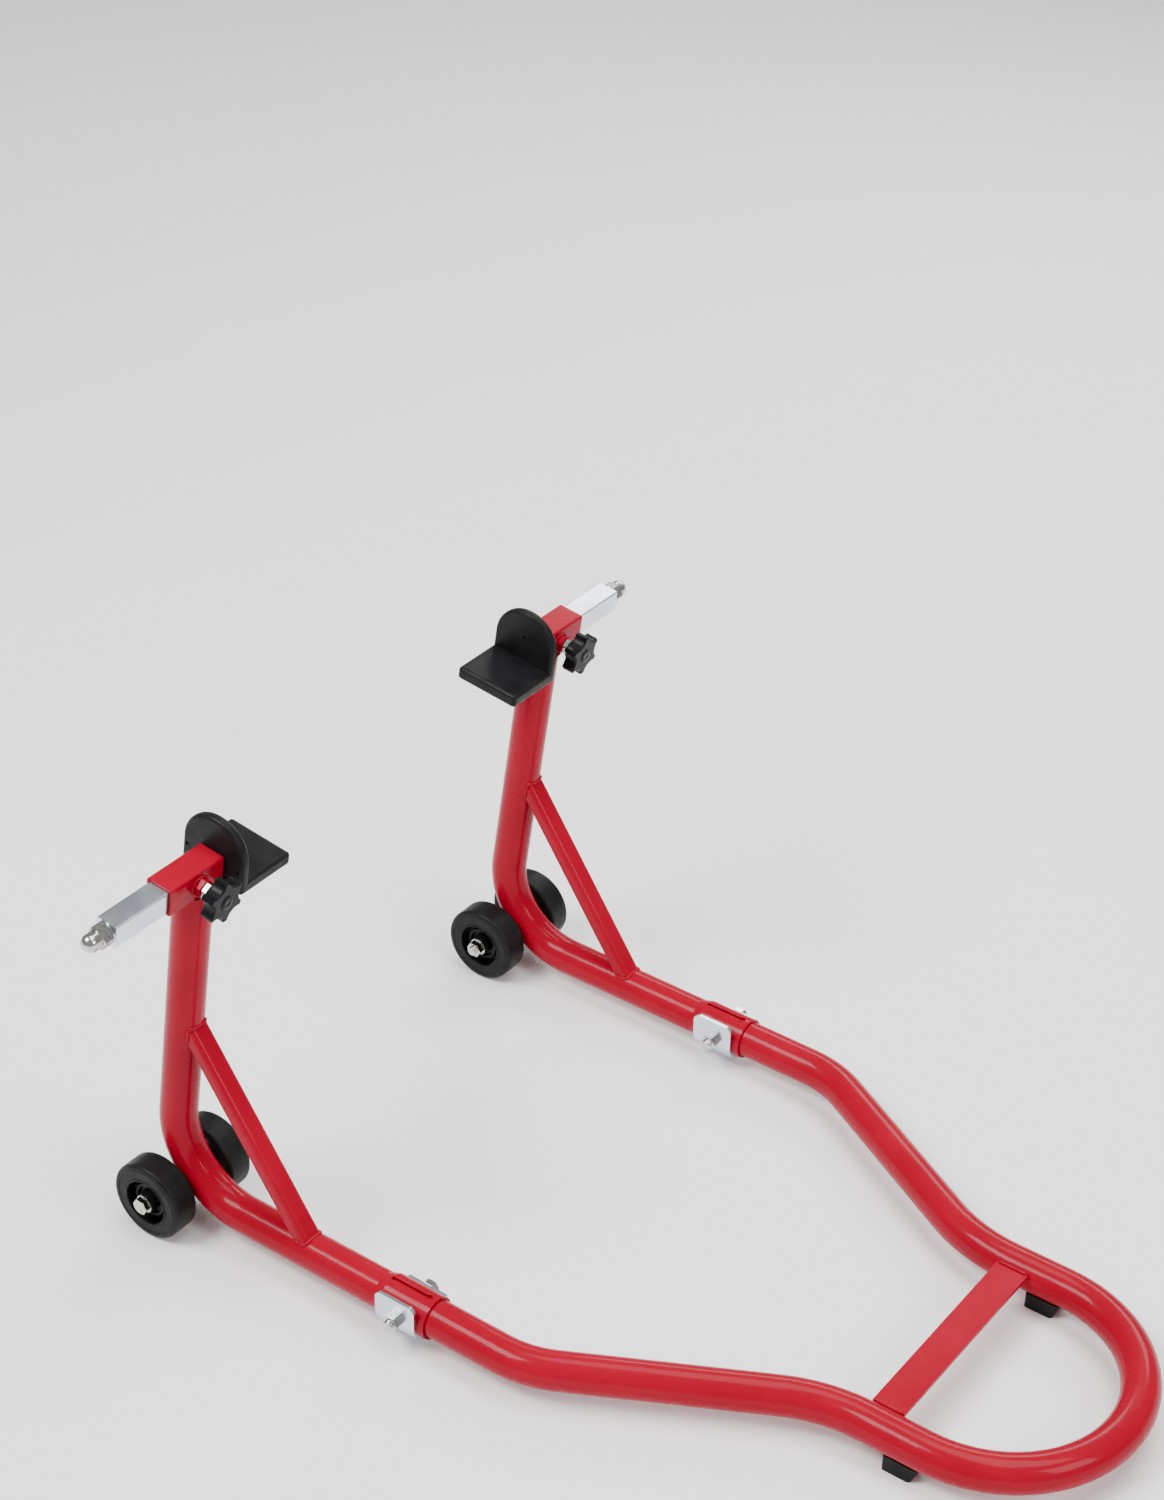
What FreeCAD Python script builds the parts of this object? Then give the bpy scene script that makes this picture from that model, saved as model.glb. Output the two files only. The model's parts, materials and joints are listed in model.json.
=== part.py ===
import FreeCAD, Part
import math
import os

import Sketcher

# Rear paddock stand. Millimetres. +X from the wheels to the handle loop, +Y to the right arm
# (the arm on the right of a motorcycle that faces -X), +Z up. The origin is on the floor, in the
# middle of the stand's bounding box. Left pieces have side -1 and right pieces have side +1.

DRIVING_SIZES = {
    # bent tubes
    "tube_radius": 16.0,
    "tube_wall": 2.0,
    "arm_offset": 222.0,
    "rail_height": 28.0,
    "corner_x": -378.0,
    "lean": 7.5,
    "bend_radius": 70.0,
    "upright_reach": 328.0,
    # swaged sockets, at these distances from the corner along the rail
    "socket_start": 225.0,
    "socket_end": 277.5,
    "shoulder_length": 8.0,
    "socket_play": 0.25,
    "slit_width": 3.0,
    "slit_start": 233.0,
    "slit_end": 270.0,
    "slit_hole_radius": 2.8,
    # handle loop
    "loop_bend_x": -12.6,
    "loop_turn": 28.7,
    "loop_bend_radius": 95.0,
    "waist_bend_radius": 145.0,
    "waist_offset": 110.7,
    "loop_centre_x": 276.2,
    "plate_x": 235.6,
    "plate_width": 28.0,
    "plate_thickness": 3.0,
    "plate_rise": 6.0,
    # feet
    "foot_x": 262.3,
    "foot_length": 30.0,
    "foot_width": 22.0,
    "foot_height": 14.5,
    "foot_taper": 5.0,
    "foot_corner": 2.5,
    "tab_length": 16.0,
    "tab_thickness": 3.0,
    "tab_low": 4.0,
    # coupling clamps
    "coupling_bolt": 252.0,
    "clamp_length": 39.0,
    "clamp_wall": 3.0,
    "clamp_tall_side": 20.0,
    "clamp_short_side": 6.0,
    "clamp_corner": 6.0,
    "clamp_short_corner": 1.5,
    # braces
    "brace_width": 20.0,
    "brace_depth": 12.0,
    "brace_wall": 2.0,
    "brace_corner": 5.0,
    "brace_angle": 55.0,
    "brace_x": 94.8,
    "brace_z": 96.5,
    "brace_length": 240.0,
    # wheels
    "axle_shift": 10.1,
    "wheel_radius": 35.0,
    "wheel_width": 24.5,
    "wheel_spread": 33.0,
    "tyre_bore": 22.0,
    "tyre_shoulder": 3.5,
    "hub_rim": 20.0,
    "hub_boss": 8.6,
    "hub_web": 9.0,
    "hub_step": 14.0,
    "hub_step_height": 3.0,
    "sleeve_radius": 8.6,
    "axle_radius": 4.0,
    "running_play": 0.05,
    "side_play": 0.3,
    "axle_washer": 8.0,
    "axle_washer_thickness": 1.45,
    # adapter heads
    "receiver_size": 25.0,
    "receiver_wall": 2.0,
    "receiver_inner": 203.1,
    "receiver_outer": 261.5,
    "square_corner": 2.0,
    "bar_size": 20.0,
    "bar_wall": 2.0,
    "bar_inner": 202.2,
    "bar_outer": 318.0,
    "bar_corner": 1.2,
    "end_plate": 4.0,
    "stud_radius": 5.0,
    "stud_outer": 338.0,
    "dome_outer": 342.0,
    "dome_radius": 7.6,
    "dome_nut_size": 17.0,
    "dome_nut_height": 9.0,
    "dome_washer_radius": 9.6,
    "dome_washer_thickness": 1.8,
    # clamp screws
    "clamp_y": 230.0,
    "clamp_nut_size": 14.0,
    "clamp_nut_height": 7.0,
    "clamp_stud_radius": 3.95,
    "clamp_stud_start": 10.3,
    "clamp_stud_end": 36.0,
    "jam_nut_start": 20.4,
    "jam_nut_height": 4.5,
    "knob_start": 25.4,
    "knob_collar": 3.5,
    "knob_collar_radius": 9.0,
    "knob_thickness": 12.0,
    "knob_radius": 19.0,
    "knob_scallop": 10.4,
    "knob_scallop_pitch": 24.4,
    # rubber pads
    "pad_back": 201.8,
    "pad_half_width": 31.0,
    "pad_arch": 10.0,
    "pad_bottom": -18.0,
    "pad_thickness": 9.0,
    "shelf_thickness": 12.0,
    "pad_reach": 144.0,
    "pad_edge": 3.4,
    "core_inset": 6.0,
    "core_thickness": 4.0,
}

SIDES = {"left": -1, "right": 1}
SHEET = "Sizes"


class Size:
    """A number that remembers the spreadsheet formula it came from."""

    def __init__(self, value, text):
        self.value = float(value)
        self.text = text

    def join(self, other, sign, value):
        return Size(value, "(%s %s %s)" % (self.text, sign, size(other).text))

    def __add__(self, other):
        return self.join(other, "+", self.value + size(other).value)

    def __sub__(self, other):
        return self.join(other, "-", self.value - size(other).value)

    def __mul__(self, other):
        return self.join(other, "*", self.value * size(other).value)

    def __truediv__(self, other):
        return self.join(other, "/", self.value / size(other).value)

    def __neg__(self):
        return Size(-self.value, "(0 - %s)" % self.text)

    __radd__ = __add__
    __rmul__ = __mul__

    def __rsub__(self, other):
        return size(other) - self


def size(number):
    if isinstance(number, Size):
        return number
    return Size(number, repr(float(number)))


def sine(angle):
    return Size(math.sin(math.radians(angle.value)), "sin(%s * 1deg)" % angle.text)


def cosine(angle):
    return Size(math.cos(math.radians(angle.value)), "cos(%s * 1deg)" % angle.text)


def tangent(angle):
    return Size(math.tan(math.radians(angle.value)), "tan(%s * 1deg)" % angle.text)


def root(number):
    return Size(math.sqrt(number.value), "sqrt(%s)" % number.text)


doc = FreeCAD.newDocument("paddock_stand")
sheet = doc.addObject("Spreadsheet::Sheet", SHEET)
pieces = {}


def fill_sheet():
    for row, (name, value) in enumerate(DRIVING_SIZES.items(), start=1):
        sheet.set("A%d" % row, name)
        sheet.set("B%d" % row, repr(value))
        sheet.setAlias("B%d" % row, name)
    doc.recompute()


def cell(name):
    return Size(DRIVING_SIZES[name], "%s.%s" % (SHEET, name))


fill_sheet()

tube_radius = cell("tube_radius")
tube_bore = tube_radius - cell("tube_wall")
arm_offset = cell("arm_offset")
rail_height = cell("rail_height")
corner_x = cell("corner_x")
lean = cell("lean")
axle_x = corner_x + cell("axle_shift")
axle_z = cell("wheel_radius")
head_x = corner_x + cell("upright_reach") * sine(lean)
head_z = rail_height + cell("upright_reach") * cosine(lean)
socket_bore = tube_radius + cell("socket_play")
socket_radius = socket_bore + cell("tube_wall")


# ---------------------------------------------------------------- helpers

def vector(x, y, z):
    return FreeCAD.Vector(size(x).value, size(y).value, size(z).value)


def bind(thing, prop, value):
    thing.setExpression(prop, size(value).text)


def place(thing, x=0, y=0, z=0, rotation=None):
    """Sets a Placement, with its base bound to the sheet."""
    thing.Placement = FreeCAD.Placement(vector(x, y, z), rotation or FreeCAD.Rotation())
    bind(thing, ".Placement.Base.x", x)
    bind(thing, ".Placement.Base.y", y)
    bind(thing, ".Placement.Base.z", z)
    return thing


def along(axis):
    return FreeCAD.Rotation(FreeCAD.Vector(0, 0, 1), FreeCAD.Vector(*axis))


def pitch():
    """The rotation shared by everything on top of the leaning uprights."""
    return FreeCAD.Rotation(FreeCAD.Vector(0, 1, 0), lean.value)


def place_on_head(thing, y):
    return place(thing, head_x, y, head_z, pitch())


def node(thing, name):
    thing.Label = name
    pieces[name] = thing
    return thing


def new_body(name):
    return doc.addObject("PartDesign::Body", name)


def origin_plane(body, role):
    return next(feature for feature in body.Origin.OriginFeatures if feature.Role == role)


def new_sketch(body, role, offset=0):
    """A sketch on one of the body's own origin planes, moved by offset along the plane's normal."""
    sketch = body.newObject("Sketcher::SketchObject", body.Name + "_sketch")
    sketch.AttachmentSupport = [(origin_plane(body, role), "")]
    sketch.MapMode = "FlatFace"
    bind(sketch, ".AttachmentOffset.Base.z", offset)
    return sketch


def pin(sketch, geometry, end, x, y):
    """Fixes a point of the sketch at x, y."""
    for kind, value, axis in (("DistanceX", size(x), -2), ("DistanceY", size(y), -1)):
        if value.value == 0:
            sketch.addConstraint(Sketcher.Constraint("PointOnObject", geometry, end, axis))
            continue
        number = sketch.addConstraint(Sketcher.Constraint(kind, -1, 1, geometry, end, value.value))
        sketch.setExpression("Constraints[%d]" % number, value.text)


def set_radius(sketch, geometry, radius):
    number = sketch.addConstraint(Sketcher.Constraint("Radius", geometry, size(radius).value))
    sketch.setExpression("Constraints[%d]" % number, size(radius).text)


def circle(sketch, x, y, radius):
    shape = Part.Circle(vector(x, y, 0), FreeCAD.Vector(0, 0, 1), size(radius).value)
    number = sketch.addGeometry(shape, False)
    pin(sketch, number, 3, x, y)
    set_radius(sketch, number, radius)


def arc_geometry(start, finish, radius, turn):
    """An arc between two points. turn is +1 to the left and -1 to the right."""
    chord = finish - start
    middle = start + chord * 0.5
    height = math.sqrt(max(radius * radius - chord.Length * chord.Length / 4, 0.0))
    normal = FreeCAD.Vector(-chord.y, chord.x, 0)
    normal.normalize()
    centre = middle + normal * (height * turn)
    ends = (start, finish) if turn > 0 else (finish, start)
    angles = [math.atan2(point.y - centre.y, point.x - centre.x) for point in ends]
    return Part.ArcOfCircle(Part.Circle(centre, FreeCAD.Vector(0, 0, 1), radius), *angles)


def outline(sketch, start, steps, closed=True):
    """Draws lines (x, y) and arcs (x, y, radius, turn) one after another from start."""
    here = start
    first = None
    last = None
    for step in steps:
        begin = vector(here[0], here[1], 0)
        end = vector(step[0], step[1], 0)
        if len(step) == 4:
            number = sketch.addGeometry(arc_geometry(begin, end, size(step[2]).value, step[3]), False)
            set_radius(sketch, number, step[2])
            head, tail = (1, 2) if step[3] > 0 else (2, 1)
        else:
            number = sketch.addGeometry(Part.LineSegment(begin, end), False)
            head, tail = 1, 2
        if last is None:
            first = (number, head)
            pin(sketch, number, head, here[0], here[1])
        else:
            sketch.addConstraint(Sketcher.Constraint("Coincident", last[0], last[1], number, head))
        last = (number, tail)
        here = step
        is_end = closed and step is steps[-1]
        if not is_end:
            pin(sketch, number, tail, step[0], step[1])
    if closed:
        sketch.addConstraint(Sketcher.Constraint("Coincident", last[0], last[1], first[0], first[1]))


def rounded_square(sketch, side, corner):
    """A square centred on the sketch's origin."""
    half = size(side) / 2
    flat = half - corner
    start = (-flat, -half)
    steps = [
        (flat, -half),
        (half, -flat, corner, 1),
        (half, flat),
        (flat, half, corner, 1),
        (-flat, half),
        (-half, flat, corner, 1),
        (-half, -flat),
        (-flat, -half, corner, 1),
    ]
    outline(sketch, start, steps)


def pad(body, sketch, length, midplane=True, reverse=False):
    feature = body.newObject("PartDesign::Pad", body.Name + "_pad")
    feature.Profile = sketch
    bind(feature, "Length", length)
    feature.Midplane = midplane
    feature.Reversed = reverse
    return feature


def pocket(body, sketch, length, midplane=True, reverse=False):
    """A pocket that must take material away."""
    doc.recompute()
    before = body.Shape.Volume
    feature = body.newObject("PartDesign::Pocket", body.Name + "_pocket")
    feature.Profile = sketch
    bind(feature, "Length", length)
    feature.Midplane = midplane
    feature.Reversed = reverse
    doc.recompute()
    if body.Shape.Volume > before - 0.1:
        raise RuntimeError("a pocket of %s cuts nothing" % body.Name)
    return feature


def revolve(body, sketch, role):
    feature = body.newObject("PartDesign::Revolution", body.Name + "_revolution")
    feature.Profile = sketch
    feature.ReferenceAxis = (origin_plane(body, role), [""])
    feature.Angle = 360
    return feature


def pipe(body, profile, path):
    feature = body.newObject("PartDesign::AdditivePipe", body.Name + "_pipe")
    feature.Profile = profile
    feature.Spine = (path, [])
    feature.Mode = "Frenet"
    return feature


def fillet(body, radius, test):
    """Rounds the edges of the body's last feature that pass the test."""
    doc.recompute()
    tip = body.Tip
    names = []
    for index, edge in enumerate(tip.Shape.Edges, start=1):
        if test(edge):
            names.append("Edge%d" % index)
    feature = body.newObject("PartDesign::Fillet", body.Name + "_fillet")
    feature.Base = (tip, names)
    bind(feature, "Radius", radius)
    doc.recompute()
    return feature


def edge_runs(edge, direction):
    """True for a straight edge along the direction."""
    if edge.Curve.TypeId != "Part::GeomLine":
        return False
    return abs(abs(edge.Curve.Direction.dot(FreeCAD.Vector(*direction))) - 1) < 1e-6


def cylinder(radius, length, start=(0, 0, 0), axis=(0, 0, 1)):
    thing = doc.addObject("Part::Cylinder", "cylinder")
    bind(thing, "Radius", radius)
    bind(thing, "Height", length)
    return place(thing, *start, rotation=along(axis))


def prism(across_flats, length, start=(0, 0, 0), axis=(0, 0, 1)):
    """A hexagon bar, sized across its flats."""
    thing = doc.addObject("Part::Prism", "prism")
    thing.Polygon = 6
    bind(thing, "Circumradius", size(across_flats) / math.sqrt(3))
    bind(thing, "Height", length)
    return place(thing, *start, rotation=along(axis))


def cone(radius_low, radius_high, length, start=(0, 0, 0), axis=(0, 0, 1)):
    thing = doc.addObject("Part::Cone", "cone")
    bind(thing, "Radius1", radius_low)
    bind(thing, "Radius2", radius_high)
    bind(thing, "Height", length)
    return place(thing, *start, rotation=along(axis))


def box(length, width, height, start=(0, 0, 0)):
    """A block that is centred on start in X and Y and stands on it."""
    thing = doc.addObject("Part::Box", "box")
    bind(thing, "Length", length)
    bind(thing, "Width", width)
    bind(thing, "Height", height)
    x, y, z = start
    return place(thing, size(x) - size(length) / 2, size(y) - size(width) / 2, z)


def combine(kind, base, tool):
    thing = doc.addObject("Part::" + kind, kind.lower())
    thing.Base = base
    thing.Tool = tool
    return thing


def cut(base, tool):
    return combine("Cut", base, tool)


def fuse(base, tool):
    return combine("Fuse", base, tool)


def common(base, tool):
    return combine("Common", base, tool)


def group(things):
    thing = doc.addObject("Part::Compound", "group")
    thing.Links = things
    return thing


def hexagon_head(across_flats, height, start, axis):
    """A hexagon with the turned chamfer on its free end."""
    reach = size(across_flats) * 0.585
    turned = cone(reach + height * 1.6, size(across_flats) * 0.485, height, start, axis)
    return common(prism(across_flats, height, start, axis), turned)


def hexagon_nut(across_flats, height, bore, start, axis):
    return cut(hexagon_head(across_flats, height, start, axis), cylinder(bore, height, start, axis))


def hexagon_bolt(across_flats, head_height, radius, length, start, axis):
    """A bolt whose shank runs from start along axis, with its head behind start."""
    back = tuple(-part for part in axis)
    head = hexagon_head(across_flats, head_height, start, back)
    return fuse(cylinder(radius, length, start, axis), head)


# ---------------------------------------------------------------- frame

def side_tube(name, side):
    """Upright, bend and rail in one bent tube, with a slit socket swaged on its rear end."""
    body = new_body("side_tube_" + name)
    setback = cell("bend_radius") * tangent(size(45) + lean / 2)
    upright_end = cell("upright_reach") - cell("receiver_size") / 2
    path = new_sketch(body, "XZ_Plane")
    steps = [
        (setback, 0),
        (setback * sine(lean), setback * cosine(lean), cell("bend_radius"), -1),
        (upright_end * sine(lean), upright_end * cosine(lean)),
    ]
    outline(path, (cell("socket_start"), size(0)), steps, closed=False)
    profile = new_sketch(body, "YZ_Plane", cell("socket_start"))
    circle(profile, 0, 0, tube_radius)
    circle(profile, 0, 0, tube_bore)
    pipe(body, profile, path)
    shoulder = cell("socket_start") + cell("shoulder_length")
    wall = new_sketch(body, "XZ_Plane")
    steps = [
        (cell("socket_start"), tube_radius),
        (shoulder, socket_radius),
        (cell("socket_end"), socket_radius),
        (cell("socket_end"), socket_bore),
        (shoulder, socket_bore),
        (cell("socket_start"), tube_bore),
    ]
    outline(wall, (cell("socket_start"), tube_bore), steps)
    revolve(body, wall, "X_Axis")
    slit = new_sketch(body, "XY_Plane")
    half = cell("slit_width") / 2
    steps = [
        (cell("slit_end"), -half),
        (cell("slit_end"), half),
        (cell("slit_start"), half),
        (cell("slit_start"), -half),
    ]
    outline(slit, (cell("slit_start"), -half), steps)
    pocket(body, slit, socket_radius * 2, midplane=False, reverse=True)
    notch = new_sketch(body, "XY_Plane")
    circle(notch, cell("slit_end"), 0, cell("slit_hole_radius"))
    pocket(body, notch, socket_radius * 2, midplane=False, reverse=True)
    hole = new_sketch(body, "XZ_Plane")
    circle(hole, cell("coupling_bolt"), 0, 4.2)
    pocket(body, hole, socket_radius * 3)
    place(body, corner_x, arm_offset * side, rail_height)
    node(body, "side_tube_" + name)


def loop_path(sketch, half_only=False):
    """Rails, waist and half-round handle in one plane, from the left socket to the right one."""
    start_x = corner_x + cell("socket_start") + cell("shoulder_length") + 1
    turn = cell("loop_turn")
    first = cell("loop_bend_radius") * tangent(turn / 2)
    second = cell("waist_bend_radius") * tangent(turn / 2)
    waist_x = cell("loop_bend_x") + (arm_offset - cell("waist_offset")) / tangent(turn)
    bend_x = cell("loop_bend_x")
    neck = cell("waist_offset")
    points = [
        (start_x, arm_offset),
        (bend_x - first, arm_offset),
        (bend_x + first * cosine(turn), arm_offset - first * sine(turn)),
        (waist_x - second * cosine(turn), neck + second * sine(turn)),
        (waist_x + second, neck),
        (cell("loop_centre_x"), neck),
    ]
    left = [(x, -y) for x, y in points]
    radii = {2: cell("loop_bend_radius"), 4: cell("waist_bend_radius")}
    steps = []
    for index in range(1, len(points)):
        if index in radii:
            steps.append(left[index] + (radii[index], 1 if index == 2 else -1))
        else:
            steps.append(left[index])
    steps.append((cell("loop_centre_x") + neck, size(0), neck, 1))
    steps.append(points[-1] + (neck, 1))
    for index in range(len(points) - 1, 0, -1):
        if index in radii:
            steps.append(points[index - 1] + (radii[index], 1 if index == 2 else -1))
        else:
            steps.append(points[index - 1])
    outline(sketch, left[0], steps, closed=False)
    return start_x


def rear_loop():
    body = new_body("rear_loop")
    path = new_sketch(body, "XY_Plane")
    start_x = loop_path(path)
    profile = new_sketch(body, "YZ_Plane", start_x)
    circle(profile, -arm_offset, 0, tube_radius)
    circle(profile, -arm_offset, 0, tube_bore)
    pipe(body, profile, path)
    hole = new_sketch(body, "XZ_Plane")
    circle(hole, corner_x + cell("coupling_bolt"), 0, 4.2)
    pocket(body, hole, arm_offset * 3)
    place(body, 0, 0, rail_height)
    node(body, "rear_loop")


def cross_plate():
    """Flat bar across the waist, set a little above the tubes' axis."""
    half_chord = root(tube_radius * tube_radius - cell("plate_rise") * cell("plate_rise"))
    span = (cell("waist_offset") - half_chord) * 2
    low = rail_height + cell("plate_rise")
    node(box(cell("plate_width"), span, cell("plate_thickness"), (cell("plate_x"), 0, low)), "cross_plate")


def brace(name, side):
    """Pressed channel whose web faces up and back, coped to the upright and to the rail."""
    body = new_body("brace_channel_" + name)
    section = new_sketch(body, "XY_Plane")
    half = cell("brace_width") / 2
    wall = cell("brace_wall")
    round_off = cell("brace_corner")
    depth = -cell("brace_depth")
    inner = half - wall
    inner_round = round_off - wall
    steps = [
        (-round_off, -half),
        (0, round_off - half, round_off, 1),
        (0, half - round_off),
        (-round_off, half, round_off, 1),
        (depth, half),
        (depth, inner),
        (-round_off, inner),
        (-wall, half - round_off, inner_round, -1),
        (-wall, round_off - half),
        (-round_off, -inner, inner_round, -1),
        (depth, -inner),
        (depth, -half),
    ]
    outline(section, (depth, -half), steps)
    pad(body, section, cell("brace_length"))
    tilt = FreeCAD.Rotation(FreeCAD.Vector(0, 1, 0), cell("brace_angle").value - 90)
    place(body, corner_x + cell("brace_x"), arm_offset * side, rail_height + cell("brace_z"), tilt)
    upright_axis = (math.sin(math.radians(lean.value)), 0, math.cos(math.radians(lean.value)))
    corner = (corner_x, arm_offset * side, rail_height)
    upright = cylinder(tube_radius, cell("upright_reach"), corner, upright_axis)
    rail = cylinder(tube_radius, cell("socket_start"), corner, (1, 0, 0))
    node(cut(cut(body, upright), rail), "brace_" + name)


def axle_sleeve(name, side):
    """Short tube welded to the outside of the bend, which carries the axle bolt."""
    half = cell("wheel_spread") - cell("wheel_width") / 2 - cell("side_play") - cell("axle_washer_thickness")
    start = (axle_x, arm_offset * side - half, axle_z)
    outer = cylinder(cell("sleeve_radius"), half * 2, start, (0, 1, 0))
    bore = cylinder(cell("axle_radius") + 0.2, half * 2, start, (0, 1, 0))
    node(cut(outer, bore), "axle_sleeve_" + name)


# ---------------------------------------------------------------- couplings and feet

def coupling(name, side):
    """Saddle plate, through bolt and nut. Both nuts are on the stand's left."""
    x = corner_x + cell("coupling_bolt")
    y = arm_offset * side
    body = new_body("coupling_plate_" + name)
    section = new_sketch(body, "YZ_Plane")
    inner = socket_radius + cell("running_play")
    outer = inner + cell("clamp_wall")
    tall = cell("clamp_tall_side")
    short = cell("clamp_short_side")
    steps = [
        (-outer, 0),
        (0, -outer, outer, 1),
        (outer, 0, outer, 1),
        (outer, short),
        (inner, short),
        (inner, 0),
        (0, -inner, inner, -1),
        (-inner, 0, inner, -1),
        (-inner, tall),
        (-outer, tall),
    ]
    outline(section, (-outer, tall), steps)
    pad(body, section, cell("clamp_length"))
    for radius, height in (("clamp_corner", tall.value), ("clamp_short_corner", short.value)):
        fillet(body, cell(radius), lambda edge: (
            edge_runs(edge, (0, 1, 0)) and abs(edge.CenterOfMass.z - height) < 0.01))
    hole = new_sketch(body, "XZ_Plane")
    circle(hole, 0, 0, 4.2)
    pocket(body, hole, outer * 3)
    place(body, x, y, rail_height)
    node(body, "coupling_plate_" + name)
    bolt_length = outer * 2 + 10
    bolt = hexagon_bolt(13, 5.3, 4, bolt_length, (x, y + outer, rail_height), (0, -1, 0))
    node(bolt, "coupling_bolt_" + name)
    nut = hexagon_nut(13, 6.5, 4, (x, y - outer, rail_height), (0, -1, 0))
    node(nut, "coupling_nut_" + name)


def foot(name, side):
    """Rubber block moulded over a steel tab under the handle tube."""
    y = cell("waist_offset") * side
    tube_low = rail_height - tube_radius
    body = new_body("foot_block_" + name)
    profile = new_sketch(body, "XZ_Plane")
    half = cell("foot_length") / 2
    steps = [
        (half - cell("foot_taper"), 0),
        (half, cell("foot_height")),
        (-half, cell("foot_height")),
        (-half, 0),
    ]
    outline(profile, (-half, 0), steps)
    pad(body, profile, cell("foot_width"))
    fillet(body, cell("foot_corner"), lambda edge: edge.BoundBox.ZLength > 5)
    place(body, cell("foot_x"), y, 0)
    tab_size = (cell("tab_length"), cell("tab_thickness"), tube_low - cell("tab_low"))
    tab_start = (cell("foot_x"), y, cell("tab_low"))
    tube_start = (cell("foot_x") - cell("foot_length"), y, rail_height)
    tube = cylinder(tube_radius, cell("foot_length") * 2, tube_start, (1, 0, 0))
    slot_height = cell("foot_height") - cell("tab_low")
    slot = box(tab_size[0], tab_size[1], slot_height, tab_start)
    node(cut(cut(body, tube), slot), "foot_" + name)
    node(box(*tab_size, start=tab_start), "foot_tab_" + name)


# ---------------------------------------------------------------- wheels

def wheel(name, place_name, side, spread):
    """Solid rubber tyre on a moulded hub. spread is +1 outboard and -1 inboard."""
    y = (arm_offset + cell("wheel_spread") * spread) * side
    label = "%s_%s" % (name, place_name)
    half = cell("wheel_width") / 2
    outer = cell("wheel_radius")
    shoulder = cell("tyre_shoulder")
    tyre = new_body("tyre_" + label)
    section = new_sketch(tyre, "YZ_Plane")
    steps = [
        (half, cell("tyre_bore")),
        (half, outer - shoulder),
        (half - shoulder, outer, shoulder, 1),
        (shoulder - half, outer),
        (-half, outer - shoulder, shoulder, 1),
        (-half, cell("tyre_bore")),
    ]
    outline(section, (-half, cell("tyre_bore")), steps)
    revolve(tyre, section, "Y_Axis")
    place(tyre, axle_x, y, axle_z)
    node(tyre, "tyre_" + label)
    hub = new_body("hub_" + label)
    section = new_sketch(hub, "YZ_Plane")
    bore = cell("axle_radius") + cell("running_play")
    web = cell("hub_web") / 2
    ring = web + cell("hub_step_height")
    steps = [
        (half, bore),
        (half, cell("hub_boss")),
        (web, cell("hub_boss") + 1),
        (web, cell("hub_step") - 2),
        (ring, cell("hub_step") - 1),
        (ring, cell("hub_step") + 1),
        (web, cell("hub_step") + 2),
        (web, cell("hub_rim") - 0.5),
        (half, cell("hub_rim")),
        (half, cell("tyre_bore")),
        (-half, cell("tyre_bore")),
        (-half, cell("hub_rim")),
        (-web, cell("hub_rim") - 0.5),
        (-web, cell("hub_step") + 2),
        (-ring, cell("hub_step") + 1),
        (-ring, cell("hub_step") - 1),
        (-web, cell("hub_step") - 2),
        (-web, cell("hub_boss") + 1),
        (-half, cell("hub_boss")),
        (-half, bore),
    ]
    outline(section, (-half, bore), steps)
    revolve(hub, section, "Y_Axis")
    place(hub, axle_x, y, axle_z)
    node(hub, "hub_" + label)


def axle_hardware(name, side):
    """Through bolt with its head outboard, its nut inboard and four washers."""
    y = arm_offset * side
    half = cell("wheel_width") / 2
    thick = cell("axle_washer_thickness")
    outer_face = cell("wheel_spread") + half + cell("side_play")
    inner_face = cell("wheel_spread") - half - cell("side_play")
    washers = []
    for low in (outer_face, inner_face - thick, -inner_face, -outer_face - thick):
        start = (axle_x, y + low, axle_z)
        disc = cylinder(cell("axle_washer"), thick, start, (0, 1, 0))
        washers.append(cut(disc, cylinder(cell("axle_radius"), thick, start, (0, 1, 0))))
    node(group(washers), "axle_washers_" + name)
    stack = outer_face + thick
    start = (axle_x, y + stack * side, axle_z)
    bolt = hexagon_bolt(13, 5.3, cell("axle_radius"), stack * 2 + 9.5, start, (0, -side, 0))
    node(bolt, "axle_bolt_" + name)
    start = (axle_x, y - stack * side, axle_z)
    node(hexagon_nut(13, 6.5, cell("axle_radius"), start, (0, -side, 0)), "axle_nut_" + name)


# ---------------------------------------------------------------- adapter heads

def square_tube(name, label, side, inner, outer, width, wall, corner):
    body = new_body(label + "_" + name)
    section = new_sketch(body, "XZ_Plane")
    rounded_square(section, width, corner)
    rounded_square(section, width - wall * 2, size(0.6))
    pad(body, section, outer - inner)
    place_on_head(body, (inner + outer) / 2 * side)
    return body


def receiver(name, side):
    """Square socket welded across the top of the upright, with a hole for the clamp screw."""
    inner, outer = cell("receiver_inner"), cell("receiver_outer")
    body = square_tube(name, "receiver", side, inner, outer, cell("receiver_size"),
                       cell("receiver_wall"), cell("square_corner"))
    hole = new_sketch(body, "YZ_Plane")
    circle(hole, (cell("clamp_y") - (inner + outer) / 2) * side, 0, 4.3)
    pocket(body, hole, cell("receiver_size"), midplane=False, reverse=True)
    node(body, "receiver_" + name)


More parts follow.
